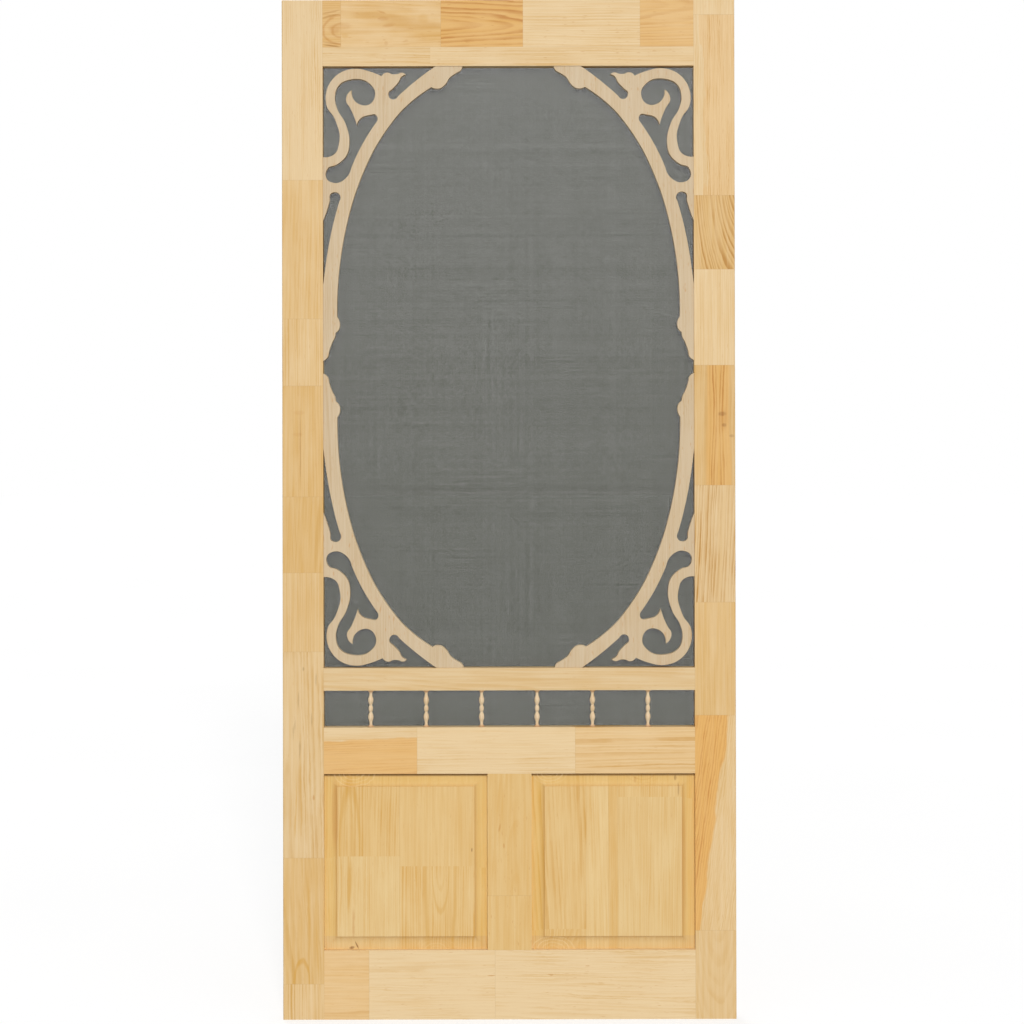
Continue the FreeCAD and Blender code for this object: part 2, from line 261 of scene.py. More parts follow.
def timber(finish, along, start, blocks):
    """The values of the block at each place along a row of blocks."""
    rows = []
    foot = start
    for block in blocks:
        middle = (foot + block.end) / 2
        lengths = {
            "pitch": block.pitch * MM,
            "heart": block.heart * MM,
            "across": (block.across - block.slant * middle) * MM,
            "depth": (block.depth - block.lean * middle) * MM,
        }
        rows.append({**block._asdict(), **lengths})
        foot = block.end
    number = sum((along > block.end * MM for block in blocks[:-1]), 0.5)
    wood = {}
    for ranges in RAMPS:
        stops = []
        for i, row in enumerate(rows):
            packed = [(row[name] - low) / (high - low) for name, (low, high) in ranges.items()]
            stops.append((i / len(rows), packed))
        ramp = finish.node("ShaderNodeValToRGB", {"stops": stops}, {"Fac": number * (1 / len(rows))})
        parts = finish.node("ShaderNodeSeparateColor", inputs={0: ramp})
        wires = (parts, parts.output("Green"), parts.output("Blue"), ramp.output("Alpha"))
        for wire, (name, (low, high)) in zip(wires, ranges.items()):
            wood[name] = wire * (high - low) + low
    return wood


def choose(share, first, second):
    """The first row's values where the share is 0, the second's where it is 1."""
    return {name: first[name] + (second[name] - first[name]) * share for name in first}


def finger(finish, thickness, fingers, reach):
    """How far the finger joints' points run on at each depth: nothing at the faces."""
    saw = (finish.y / (thickness / fingers * MM)).fraction()
    return abs(saw - 0.5) * (2 * reach * MM)


def near(wire, place, width):
    """1 in a thin line at a place along a wire."""
    return 1 - abs(wire - place * MM).rise(width / 2 * MM, width * MM)


def pine(finish, along, across, wood, kind=FRAME_PINE, flecks=0.4, marks=(), seams=None, shades_and_stains=()):
    """Pine's colour, roughness and relief, from growth rings round the pith of each block.

    Flecks is how strongly resin shows in the pores, seams are glue lines, and painted shade, painted bounce
    light and stains lie under the marks.
    """
    through = finish.y
    seed = wood["across"] * 57.0 + wood["depth"] * 31.0 + wood["tone"] * 13.0
    stretched = finish.vector(across + seed, through + seed * 1.7, along * 0.1 + seed * 2.3)
    slow = finish.noise(stretched, scale=11.0).output("Color")
    drift = finish.node("ShaderNodeSeparateXYZ", inputs={0: slow})
    ripple = finish.noise(stretched, scale=75.0)
    tremor = finish.noise(finish.vector(across, through, along * 0.2 + seed), scale=260.0)
    streaks = finish.noise(finish.vector(across * 230 + seed, through * 230, along * 6), 1.0, 3.0)
    wander = ((ripple - 0.5) * RIPPLE + (tremor - 0.5) * TREMOR) * wood["wave"]
    swirl, shares = 0.0, []
    for mark in marks:
        ahead = along - mark.along * MM
        beside = (across - mark.across * MM - ahead * mark.slant + wander) / (mark.wide * MM)
        onward = ahead / (mark.long * MM)
        ragged = 0.22 if mark.rings else 0.6
        far = (beside * beside + onward * onward) ** 0.5 + (ripple - 0.5) * ragged
        share = 1 - far.rise(0.45, 1.1)
        if mark.rings:
            nested = far * abs(mark.rings)
            line = abs((nested + 0.5).fraction() - 0.5)
            share = (1 - line.rise(0.04, 0.22)) * (nested > 0.5) * (1 - far.rise(1.05, 1.2))
            share = share * (ahead * mark.rings > 0.0)
            if abs(mark.rings) > 1:
                share = share * (0.3 + 0.7 * finish.chance((nested + 0.5).floor() + mark.across))
        if mark.swirl:
            swirl = swirl + (1 - far.rise(0.0, 4.0)) * (mark.swirl * MM)
        shares.append((share * mark.depth, mark.colour))
    beside = across - wood["across"] - wood["slant"] * along + (drift - 0.5) * DRIFT + wander
    behind = through - wood["depth"] - wood["lean"] * along + (drift.output("Y") - 0.5) * DRIFT
    reach = (beside * beside + behind * behind) ** 0.5 + swirl
    thick_and_thin = finish.noise(finish.vector(reach, seed, 0.0), scale=60.0)
    rings = reach / wood["pitch"] + (thick_and_thin - 0.5) * 3.0
    year = rings.fraction()
    late = year.rise(0.25, 0.8) * (1 - year.rise(0.84, 1.0))
    late = late * (0.25 + 0.75 * finish.chance(rings.floor() + seed)) * (0.45 + 1.1 * streaks)
    fibres = finish.noise(finish.vector(across * 900, through * 900, along * 14 + seed), 1.0, 3.0)
    cloud = finish.noise(finish.vector(across + seed, through, along * 0.35), scale=26.0, detail=3.0)
    specks = finish.noise(finish.vector(across * 420 + seed, through * 420, along * 55), 1.0, 1.0)
    pores = specks.rise(0.66, 0.78)
    edge = wood["heart"] * (1.2 - 0.4 * cloud)
    heart = 1 - reach.rise(edge - RIM_INSIDE, edge + RIM_OUTSIDE)
    tone = wood["tone"] + (cloud - 0.5) * wood["patch"] + (streaks - 0.5) * 0.9
    colour = finish.blend(tone, kind.pale, kind.honey)
    colour = finish.blend(wood["shade"], colour, WEATHERED)
    colour = finish.blend(heart * wood["red"], colour, HEARTWOOD)
    clear = cloud.rise(0.3, 0.66) * 1.1 + 0.25
    ring = finish.blend((wood["grain"] - 0.45) * 1.3, kind.late, DARK_LATE)
    ring = finish.blend(heart * wood["red"] * 1.4, ring, HEART_LATE)
    colour = finish.blend(late * clear * wood["grain"] * (1.1 + heart * 0.6), colour, ring)
    colour = finish.blend((fibres - 0.41) * 0.56, colour, kind.fibre)
    colour = finish.blend(pores * flecks * 0.6, colour, RESIN)
    for share, overlay_colour in shades_and_stains:
        colour = finish.blend(share, colour, overlay_colour)
    for share, mark_colour in shares:
        colour = finish.blend(share * (0.5 + streaks), colour, mark_colour)
    if seams:
        colour = finish.blend(seams * 0.2, colour, GLUE)
    roughness = 0.5 + fibres * 0.16 - late * 0.08
    height = late * 0.5 + fibres
    return finish.surface(colour, roughness, height, GRAIN_RELIEF, Specular_IOR_Level=0.3)


def member(name, along, start, middle, blocks, kind=FRAME_PINE, marks=(), flecks=0.4, ends=(), strip=None):
    """The finish of a frame member, whose blocks run along X or Z.

    Ends are the places of its shoulders. A strip at its foot has an upper edge, from the middle, and blocks.
    """
    finish = Finish(name)
    upright = along == "z"
    run = finish.z if upright else finish.x
    across = (finish.x if upright else finish.z) - middle * MM
    jointed = run + finger(finish, LEAF_THICKNESS, fingers=7, reach=9)
    wood = timber(finish, jointed, start, blocks)
    seams = sum(near(jointed, block.end, JOINT_LINE) for block in blocks[:-1])
    if strip:
        edge, strip_blocks = strip
        main = across > edge * MM
        wood = choose(main, timber(finish, jointed, start, strip_blocks), wood)
        seams = seams * main + near(across, edge, GLUE_LINE)
    seams = sum((near(run, end, SHOULDER_LINE) for end in ends), seams)
    return pine(finish, run, across, wood, kind, flecks, marks, seams)


# The panels, in mm: their opening from foot to top, the ends and thickness of a panel in its grooves, and the
# width of the margin and cove round its field
PANEL_FOOT, PANEL_TOP = 139.7, 495.3
PANEL_LOW, PANEL_HIGH = 131.0, 504.0
PANEL_THICKNESS = 19.0
PANEL_EDGE = 26.5

# Where painted shade falls on a panel's edge, in metres: over the cove, in its crease, and as a painted
# shadow under the rail above
COVE_WIDTH = 16 * MM
CREASE = (1 * MM, 6 * MM)
LIP = (-8 * MM, -4.5 * MM)

# How strong the painted warm bounce light is on a panel's edge and how much less on its sill, and how dark
# the painted shades and shadow are
BOUNCE_SHARE, SILL_BOUNCE_CUT = 0.35, 0.3
COVE_SHADE, CREASE_SHADE, SILL_SHADE, LIP_SHADE = 0.1, 0.16, 0.08, 0.65
# How much more painted shade the cove's sides get than its top and foot
SIDES_DARKER = 0.4


def panel(name, left, right, staves, marks=()):
    """The finish of a raised panel, glued up from staves. Each stave has its left edge and its blocks."""
    finish = Finish(name)
    across = finish.x - (left + right) / 2 * MM
    jointed = finish.z + finger(finish, PANEL_THICKNESS, fingers=5, reach=7)
    wood, seams = None, 0.0
    for edge, blocks in staves:
        stave = timber(finish, jointed, PANEL_LOW, blocks)
        if wood:
            stave = choose(finish.x > edge * MM, wood, stave)
            seams = seams + near(finish.x, edge, GLUE_LINE)
        wood = stave
    width = right - left - 2 * PANEL_EDGE
    height = PANEL_TOP - PANEL_FOOT - 2 * PANEL_EDGE
    beside = abs(across) - width / 2 * MM
    beyond = beside.larger(abs(finish.z - (PANEL_FOOT + PANEL_TOP) / 2 * MM) - height / 2 * MM)
    edge = beyond > 0.0
    # Painted shade over the cove, darkest in its crease against the field, and more on the cove's sides
    slope = (1 - beyond.rise(0.0, COVE_WIDTH)) * COVE_SHADE + (1 - beyond.rise(*CREASE)) * CREASE_SHADE
    lee = (beside > 0.0) * SIDES_DARKER + 1
    # The sill gets less painted bounce light and more painted shade, and a band under the rail above gets a
    # painted shadow
    sill = 1 - (finish.z > (PANEL_FOOT + PANEL_EDGE) * MM)
    lip = (finish.z - PANEL_TOP * MM).rise(*LIP)
    # Painted light on the edge: warm bounce light, painted shade over cove, sides and sill, and a painted
    # shadow under the rail
    shades_and_stains = [
        (edge * BOUNCE_SHARE - sill * SILL_BOUNCE_CUT, PAINTED_BOUNCE),
        (edge * slope * lee + sill * SILL_SHADE, SHADE_AND_STREAK),
        (lip * LIP_SHADE, PAINTED_SHADOW),
    ]
    return pine(finish, finish.z, across, wood, PANEL_PINE, marks=marks, seams=seams, shades_and_stains=shades_and_stains)


ENDS = (LEFT_EDGE, RIGHT_EDGE)
finishes = {
    "left_stile": member("left stile pine", along="z", start=0.0, middle=41.25, blocks=[
        Block(71.7, 0.34, 0.4, 5.5, -210, 5, heart=300, red=0.05),
        Block(326.0, 0.6, 0.35, 6.0, -60, 36, 0.06, wave=2.0),
        Block(741.7, 0.26, 0.6, 5.0, -34, 40, 0.03, wave=2.0, shade=0.05),
        Block(901.1, 0.46, 0.4, 4.2, 190, 10, shade=0.03),
        Block(1054.5, 0.7, 0.35, 4.0, 60, 60, 0.05, shade=0.02),
        Block(1278.5, 0.64, 0.4, 4.2, -60, 45),
        Block(1413.7, 0.36, 0.45, 4.0, 260, 0),
        Block(1694.0, 0.43, 0.3, 4.0, -60, 60, -0.04),
        Block(LEAF_HEIGHT, 0.02, 0.36, 4.0, 170, 30, wave=2.0, shade=0.04),
    ], marks=[
        Mark(71.7, -4.0, 46.0, 16.0, 0.6, AMBER, rings=1),
        Mark(200.0, 10.0, 135.0, 2.4, 0.45, AMBER),
        Mark(130.0, 29.0, 75.0, 2.2, 0.4, AMBER, slant=-0.05),
        Mark(448.0, 22.8, 7.0, 2.4, 0.5, RESIN),
        Mark(415.0, -25.0, 55.0, 1.4, 0.4, AMBER, slant=0.04),
        Mark(420.0, -15.0, 70.0, 1.4, 0.45, AMBER, slant=0.03),
        Mark(440.0, -5.0, 110.0, 1.6, 0.4, AMBER),
        Mark(544.0, -8.0, 22.0, 2.4, 0.3, WEATHERED),
        Mark(583.0, -18.0, 24.0, 1.5, 0.25, WEATHERED, slant=0.04),
        Mark(605.0, 19.0, 18.0, 2.2, 0.3, WEATHERED, slant=-0.05),
        Mark(644.0, -11.0, 18.0, 2.4, 0.3, WEATHERED),
        Mark(686.0, 26.5, 16.0, 2.2, 0.35, WEATHERED),
        Mark(707.0, 0.5, 5.0, 2.4, 0.4, WEATHERED),
        Mark(1149.0, -5.0, 95.0, 1.2, 0.45, SHADE_AND_STREAK),
        Mark(1180.5, -9.0, 5.0, 15.0, 0.15, RESIN),
        Mark(1224.0, -7.0, 6.0, 15.0, 0.15, RESIN),
    ]),
    "right_stile": member("right stile pine", along="z", start=0.0, middle=873.15, blocks=[
        Block(178.6, 0.36, 0.22, 6.0, 6, 20, -0.17, wave=2.0, shade=0.04),
        Block(612.5, 0.26, 0.35, 4.5, -78, 12, 0.0, 0.14, 84, red=0.72, wave=2.0),
        Block(840.5, 0.56, 0.25, 4.0, 150, 40),
        Block(1076.6, 0.3, 0.95, 6.6, -230, 0, 0.0, 0.05, shade=0.05),
        Block(1318.8, 0.62, 0.62, 6.0, 7, -14, 0.0, 0.01, 24, red=0.42, wave=1.4, shade=0.03),
        Block(1512.5, 0.13, 0.25, 4.0, 220, 10),
        Block(1661.9, 0.66, 0.95, 5.2, 58, 30, -0.3),
        Block(2027.0, 0.06, 0.42, 4.0, 240, 0, heart=265, red=0.2, wave=2.4, shade=0.03),
        Block(LEAF_HEIGHT, 0.1, 0.3, 4.0, 120, 0),
    ], marks=[
        Mark(1208.0, 17.0, 30.0, 14.0, 0.25, RESIN, swirl=3.0),
        Mark(1220.5, 15.0, 6.0, 10.0, 0.35),
        Mark(1198.0, 19.5, 5.0, 6.5, 0.35),
        Mark(1176.0, 34.5, 4.0, 6.0, 0.25),
    ]),
    "top_rail": member("top rail pine", along="x", start=LEFT_EDGE, middle=1990.7, blocks=[
        Block(119.3, 0.52, 0.34, 4.5, -70, 10, 0.0, 0.0, 300, red=0.16),
        Block(321.5, 0.38, 0.3, 5.0, 20, 46, 0.03, 0.0, 300, red=0.14, wave=2.5, patch=1.4),
        Block(487.2, 0.6, 0.62, 6.0, 12, 20, 0.06, 0.0, 300, red=0.46, wave=1.6, patch=0.9),
        Block(723.8, 0.06, 0.3, 4.5, -150, 30),
        Block(RIGHT_EDGE, 0.36, 0.28, 5.0, 60, 40, 0.06, 0.0, 300, red=0.34),
    ], marks=[
        Mark(120.0, 6.0, 37.0, 28.0, 0.6, RESIN, rings=-2),
        Mark(107.0, 8.4, 15.0, 11.0, 0.35, RESIN),
        Mark(100.3, 42.7, 22.0, 2.0, 0.5, DARK_LATE, slant=0.22),
        Mark(100.3, 34.2, 22.0, 2.2, 0.6, DARK_LATE, slant=0.25),
        Mark(100.3, -20.0, 20.0, 1.7, 0.5, DARK_LATE, slant=-0.1),
        Mark(100.3, -25.6, 20.0, 1.7, 0.7, SHADE_AND_STREAK, slant=-0.1),
        Mark(205.0, 22.0, 180.0, 64.0, 0.1, AMBER),
        Mark(127.0, 14.0, 16.0, 7.0, 0.2, RESIN),
        Mark(128.0, -5.0, 9.0, 6.0, 0.3, AMBER),
        Mark(202.0, 42.0, 9.0, 3.0, 0.4, RESIN, slant=-0.4),
        Mark(205.0, 28.6, 13.0, 4.5, 0.3, RESIN),
        Mark(215.7, 15.2, 15.0, 5.0, 0.28, RESIN, slant=0.15),
        Mark(286.0, 29.0, 14.0, 13.0, 0.28, AMBER),
        Mark(250.0, -16.0, 7.0, 3.5, 0.25, RESIN, slant=0.3),
        Mark(211.0, -20.0, 5.0, 6.0, 0.25, RESIN),
    ], flecks=0.9, ends=ENDS, strip=(-28.0, [
        Block(300.0, 0.2, 0.4, 5.0, -120, 20, wave=2.5, shade=0.04),
        Block(RIGHT_EDGE, 0.14, 0.35, 4.5, 140, 30, wave=2.0, shade=0.04),
    ])),
    "screen_rail": member("screen rail pine", along="x", start=LEFT_EDGE, middle=686.0, blocks=[
        Block(RIGHT_EDGE, 0.16, 0.25, 5.0, -30, 60, 0.04, 0.03, wave=1.6, shade=0.12),
    ], ends=ENDS),
    "lock_rail": member("lock rail pine", along="x", start=LEFT_EDGE, middle=542.1, blocks=[
        Block(270.8, 0.12, 0.2, 4.5, -85, 20, 0.0, 0.03, 114, wave=1.5, shade=0.03),
        Block(590.0, 0.02, 0.3, 4.5, 60, 40, wave=1.5),
        Block(RIGHT_EDGE, 0.2, 0.36, 7.7, -160, 10, 0.0, 0.02, 300, red=0.15, wave=1.6, patch=0.3),
    ], ends=ENDS),
    "bottom_rail": member("bottom rail pine", along="x", start=LEFT_EDGE, middle=69.85, blocks=[
        Block(173.2, 0.16, 0.16, 6.0, -130, 30, 0.0, 0.0, 300, red=0.25, wave=2.0),
        Block(427.6, 0.02, 0.28, 5.0, 60, 44, 0.02, wave=3.0),
        Block(RIGHT_EDGE, 0.0, 0.28, 5.0, -90, 60, 0.02, wave=3.0),
    ], marks=[
        Mark(420.0, 18.0, 9.0, 1.3, 0.6, RESIN),
        Mark(614.0, 38.0, 6.0, 1.3, 0.45, RESIN),
        Mark(539.0, 19.0, 7.0, 1.3, 0.4, RESIN),
    ], flecks=0.6, ends=ENDS),
    "centre_muntin": member("muntin pine", along="z", start=PANEL_FOOT, middle=MIDDLE, blocks=[
        Block(249.3, 0.44, 0.15, 4.0, 200, 0),
        Block(PANEL_TOP, 0.48, 0.2, 7.0, 10, 30, 0.08),
    ], kind=PANEL_PINE, marks=[
        Mark(386.0, -20.6, 10.0, 2.0, 0.4, RESIN, slant=0.2),
        Mark(350.0, -11.5, 6.0, 1.8, 0.45, RESIN),
    ], flecks=0.9, ends=(PANEL_FOOT, PANEL_TOP)),
    "left_panel": panel("left panel pine", LEFT_EDGE, MUNTIN_LEFT, [
        (LEFT_EDGE, [
            Block(328.0, 0.12, 0.4, 4.0, -190, 4, wave=2.0, shade=0.03),
            Block(PANEL_HIGH, 0.36, 0.55, 6.0, -190, 8, 0.0, 0.02, patch=0.35),
        ]),
        (235.0, [
            Block(307.8, 0.3, 0.42, 5.6, 160, 6, 0.0, 0.0, 400, red=0.03),
            Block(PANEL_HIGH, 0.4, 0.13, 4.0, 230, 0),
        ]),
    ], marks=[
        Mark(328.0, -113.0, 145.0, 21.0, 0.45, AMBER, rings=1),
        Mark(328.0, -116.0, 140.0, 9.0, 0.35, AMBER, rings=1),
        Mark(266.0, -114.0, 64.0, 6.5, 0.5, AMBER, slant=0.03),
        Mark(190.0, -106.0, 38.0, 1.7, 0.4, RESIN),
        Mark(307.8, 70.0, 90.0, 17.0, 0.5, AMBER, rings=-2),
        Mark(307.8, 69.0, 300.0, 30.0, 0.4, AMBER, rings=-1),
        Mark(340.5, 133.5, 5.0, 1.8, 0.5),
        Mark(418.0, -143.0, 95.0, 8.0, 0.38, RESIN),
        Mark(494.0, -105.0, 25.0, 40.0, 0.3, BLEACHED, rings=-4),
        Mark(139.7, 60.0, 23.0, 40.0, 0.2, BLEACHED, rings=4),
        Mark(142.5, -110.0, 3.5, 6.0, 0.6, slant=0.5),
        Mark(148.0, -99.0, 9.0, 1.9, 0.7, slant=-0.46),
    ]),
    "right_panel": panel("right panel pine", MUNTIN_RIGHT, RIGHT_EDGE, [
        (MUNTIN_RIGHT, [
            Block(180.6, 0.36, 0.4, 5.0, -60, 30, 0.1),
            Block(PANEL_HIGH, 0.38, 0.6, 9.0, -190, 20, 0.0, -0.06),
        ]),
        (612.0, [
            Block(PANEL_HIGH, 0.14, 0.35, 6.0, -150, 30, 0.0, -0.03),
        ]),
        (657.0, [
            Block(PANEL_HIGH, 0.5, 0.3, 4.0, 120, 20),
        ]),
        (676.0, [
            Block(447.0, 0.18, 0.3, 4.0, 88, 0, 0.0, 0.02, shade=0.04),
            Block(PANEL_HIGH, 0.34, 0.5, 5.0, -120, 20),
        ]),
    ], marks=[
        Mark(140.0, -122.0, 25.0, 42.0, 0.35, BLEACHED, rings=4),
        Mark(495.0, -128.0, 22.0, 34.0, 0.35, BLEACHED, rings=-4),
        Mark(317.5, 157.0, 270.0, 13.0, 0.14, HEARTWOOD),
        # The right cove gets more painted shade, and the left cove's painted shade is eased with amber
        Mark(317.5, 143.0, 185.0, 7.0, 0.28, RESIN),
        Mark(317.5, -143.0, 185.0, 7.0, 0.2, AMBER),
        Mark(495.0, 60.0, 20.0, 34.0, 0.25, RESIN, rings=-3),
        Mark(482.0, 44.0, 8.0, 3.0, 0.35, RESIN),
        Mark(485.0, 125.0, 6.0, 2.4, 0.45),
        Mark(463.0, 131.0, 15.0, 2.2, 0.3),
    ]),
}
for name, material in finishes.items():
    nodes[name].data.materials.clear()
    nodes[name].data.materials.append(material)


# Pieces

# Edges that turn by more than this are sharp
SHARP = math.radians(50)


def put(name, data):
    """A new object in the scene."""
    thing = bpy.data.objects.new(name, data)
    bpy.context.scene.collection.objects.link(thing)
    return thing


def baked(maker):
    """A plain mesh of what an object's modifiers make. The object itself goes."""
    bpy.context.view_layer.update()
    made = bpy.data.meshes.new_from_object(maker.evaluated_get(bpy.context.evaluated_depsgraph_get()))
    bpy.data.objects.remove(maker)
    return made


def keep(name, mesh, slot, *stands_for):
    """A finished piece that rides on the leaf."""
    piece = put(name, mesh)
    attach(piece, "root")
    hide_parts(*stands_for)
    return piece


class Pattern(Tree):
    """A Geometry Nodes tree in the making, with named sizes."""

    def __init__(self, name, sizes):
        group = bpy.data.node_groups.new(name, "GeometryNodeTree")
        super().__init__(group)
        self.sizes = sizes
        group.interface.new_socket("Geometry", in_out="OUTPUT", socket_type="NodeSocketGeometry")
        for size in sizes:
            group.interface.new_socket(size, in_out="INPUT", socket_type="NodeSocketFloat")
        self.inputs = group.nodes.new("NodeGroupInput")

    def size(self, name):
        return Wire(self, self.inputs.outputs[name])

    def mesh(self, shape, material):
        """The pattern's result as a plain mesh."""
        real = self.node("GeometryNodeRealizeInstances", inputs={0: shape})
        dressed = self.node("GeometryNodeSetMaterial", inputs={"Geometry": real, "Material": material})
        self.node("NodeGroupOutput", inputs={0: dressed})
        maker = put("maker", bpy.data.meshes.new("maker"))
        modifier = maker.modifiers.new("pattern", "NODES")
        modifier.node_group = self.tree
        for item in self.tree.interface.items_tree:
            if item.in_out == "INPUT":
                modifier[item.identifier] = self.sizes[item.name]
        return baked(maker)


# Woven screens

YARN = tint(44, 48, 27)
YARN_WORN = tint(58, 60, 40)
WARP_PITCH, WEFT_PITCH = 1.41 * MM, 1.59 * MM


def screen_finish():
    """Coated glass yarn: a tone of its own for each yarn, which varies a little within each mesh."""
    finish = Finish("charcoal screen yarn")
    warp, weft = finish.x / WARP_PITCH, finish.z / WEFT_PITCH
    tone = finish.chance(warp.floor()) * 0.5 + finish.chance(weft.floor() + 900) * 0.5
    crown = abs(warp.fraction() - 0.5) + abs(weft.fraction() - 0.5)
    colour = finish.blend(tone * 0.6 + crown * 0.3, YARN, YARN_WORN)
    return finish.surface(colour, 0.5 + tone * 0.2, crown, 0.0003, Specular_IOR_Level=0.2)


screen_material = screen_finish()


def screen(name, node, draw):
    """Warp and weft yarns across an opening, stretched over the rebate's floor and closer at the foot."""
    low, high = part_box(node)
    sizes = {
        "Left": low.x, "Foot": low.z, "Front": low.y,
        "Width": high.x - low.x, "Height": high.z - low.z,
        "Warp pitch": WARP_PITCH, "Weft pitch": WEFT_PITCH,
        "Warp width": 0.873 * MM, "Weft width": 0.984 * MM,
        "Yarn thickness": 0.15 * MM, "Warp layer": 0.6, "Weft layer": 1.6,
        "Unevenness": 0.06, "Draw at the top": draw[0], "Draw at the foot": draw[1], "Draw curve": 2.5,
    }
    weave = Pattern("screen weave", sizes)
    left, foot, front, width, height = (weave.size(n) for n in ("Left", "Foot", "Front", "Width", "Height"))
    thick, uneven = weave.size("Yarn thickness"), weave.size("Unevenness")
    slack, taut = weave.size("Draw at the top"), weave.size("Draw at the foot")
    place = weave.node("GeometryNodeInputPosition")
    across = weave.node("ShaderNodeSeparateXYZ", inputs={0: place})
    level = across.output("Z")
    layers = []
    for seed, (yarn, upright) in enumerate((("Warp", True), ("Weft", False))):
        pitch, broad = weave.size(yarn + " pitch"), weave.size(yarn + " width")
        y = front + thick * weave.size(yarn + " layer")
        spread = {2: 1 - uneven, 3: 1 + uneven, 8: seed}
        fuller = weave.node("FunctionNodeRandomValue", {"data_type": "FLOAT"}, spread, 1)
        if upright:
            scale = weave.vector(fuller, 1.0, 1.0)
            start = weave.vector(left + pitch / 2, y, foot + height / 2)
            step = weave.vector(pitch, 0.0, 0.0)
            size = weave.vector(broad, thick, height)
            count = (width / pitch).floor()
        else:
            slackness = ((level - foot) / height) ** weave.size("Draw curve")
            scale = weave.vector(1.0, 1.0, fuller * (taut + (slack - taut) * slackness))
            start = weave.vector(left + width / 2, y, foot + pitch / 2)
            step = weave.vector(0.0, 0.0, pitch)
            size = weave.vector(width, thick, broad)
            count = (height / pitch).floor()
        spacing = {"Count": count, "Start Location": start, "Offset": step}
        row = weave.node("GeometryNodeMeshLine", inputs=spacing)
        bar = weave.node("GeometryNodeMeshCube", inputs={"Size": size})
        if upright:
            drawn = (slack + taut) / 2 + (slack - taut) * (level / height)
            taper = weave.vector(across * (drawn - 1), 0.0, 0.0)
            bar = weave.node("GeometryNodeSetPosition", inputs={"Geometry": bar, "Offset": taper})
        yarns = {"Points": row, "Instance": bar, "Scale": scale}
        layers.append(weave.node("GeometryNodeInstanceOnPoints", inputs=yarns))
    cloth = weave.node("GeometryNodeJoinGeometry", inputs={0: layers})
    piece = keep(name, weave.mesh(cloth, screen_material), "screen_mesh", node)


screen("upper_screen_weave", "upper_screen", (0.92, 1.05))
screen("lower_screen_weave", "lower_screen", (1.02, 1.02))


# Cords that hold the screens, ribbed along their length

VINYL = tint(62, 63, 62)
VINYL_SCUFFED = tint(96, 97, 94)


def cord_finish():
    """Grey vinyl, finely speckled and a little scuffed."""
    finish = Finish("grey vinyl cord")
    place = finish.vector(finish.x, finish.y, finish.z)
    speckle = finish.noise(place, scale=900.0)
    scuff = finish.noise(place, scale=60.0).rise(0.45, 0.75)
    colour = finish.blend(scuff, VINYL, VINYL_SCUFFED)
    return finish.surface(colour, 0.45 + scuff * 0.2, speckle, 0.00008, Specular_IOR_Level=0.45)


cord_material = cord_finish()


def cord(name, node):
    """One cord, once round its groove, with ribs along it and small round corners."""
    low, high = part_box(node)
    radius = (high.y - low.y) / 2
    corner_steps, rib_count = 4, 12
    sizes = {
        "Width": high.x - low.x - 2 * radius, "Height": high.z - low.z - 2 * radius,
        "Radius": radius, "Rib depth": 0.2 * MM, "Corner": 3.0 * MM,
        "Middle": (low.x + high.x) / 2, "Level": (low.z + high.z) / 2, "Depth": (low.y + high.y) / 2,
    }
    run = Pattern("ribbed cord", sizes)
    loop = run.node(
        "GeometryNodeCurvePrimitiveQuadrilateral", {"mode": "RECTANGLE"},
        {"Width": run.size("Width"), "Height": run.size("Height")},
    )
    loop = run.node(
        "GeometryNodeFilletCurve", {"mode": "POLY"},
        {"Curve": loop, "Count": corner_steps, "Radius": run.size("Corner"), "Limit Radius": True},
    )
    outer = run.size("Radius")
    inner = outer - run.size("Rib depth")
    ribs = run.node(
        "GeometryNodeCurveStar",
        inputs={"Points": rib_count, "Outer Radius": outer, "Inner Radius": inner},
    )
    tube = run.node("GeometryNodeCurveToMesh", inputs={"Curve": loop, "Profile Curve": ribs})
    place = run.vector(run.size("Middle"), run.size("Depth"), run.size("Level"))
    tube = run.node(
        "GeometryNodeTransform",
        inputs={"Geometry": tube, "Translation": place, "Rotation": Euler((math.pi / 2, 0, 0))},
    )
    keep(name, run.mesh(tube, cord_material), "spline_cord", node)


cord("upper_spline_cord", "upper_spline")
cord("lower_spline_cord", "lower_spline")


# Turned spindles

def spindle_finish(middle, half):
    """Pale turned pine: fine rings round each spindle's own pith, and darker ends, partly burnished and
    partly painted shade.
    """
    finish = Finish("turned pine")
    across = finish.x - MIDDLE * MM
    wood = timber(finish, finish.x, 121.2, [
        Block(233.2, 0.1, 0.5, 2.2, -330, 30, 0.02),
        Block(345.2, 0.2, 0.5, 2.4, -200, 40, -0.03),
        Block(MIDDLE, 0.08, 0.6, 2.0, -90, 36, 0.02),
        Block(569.2, 0.16, 0.5, 2.2, 20, 44, 0.04),
        Block(681.2, 0.22, 0.5, 2.5, 130, 30, -0.02),
        Block(793.2, 0.12, 0.5, 2.2, 240, 38, 0.03),
    ])
    inside, outside = 8 * MM, 1 * MM
    # Painted shade and burnishing darken the spindle towards both ends
    ends = abs(finish.z - middle).rise(half - inside, half - outside)
    return pine(finish, finish.z, across, wood, SPINDLE_PINE, shades_and_stains=[(ends * 0.5, BURNISHED_AND_SHADED)])


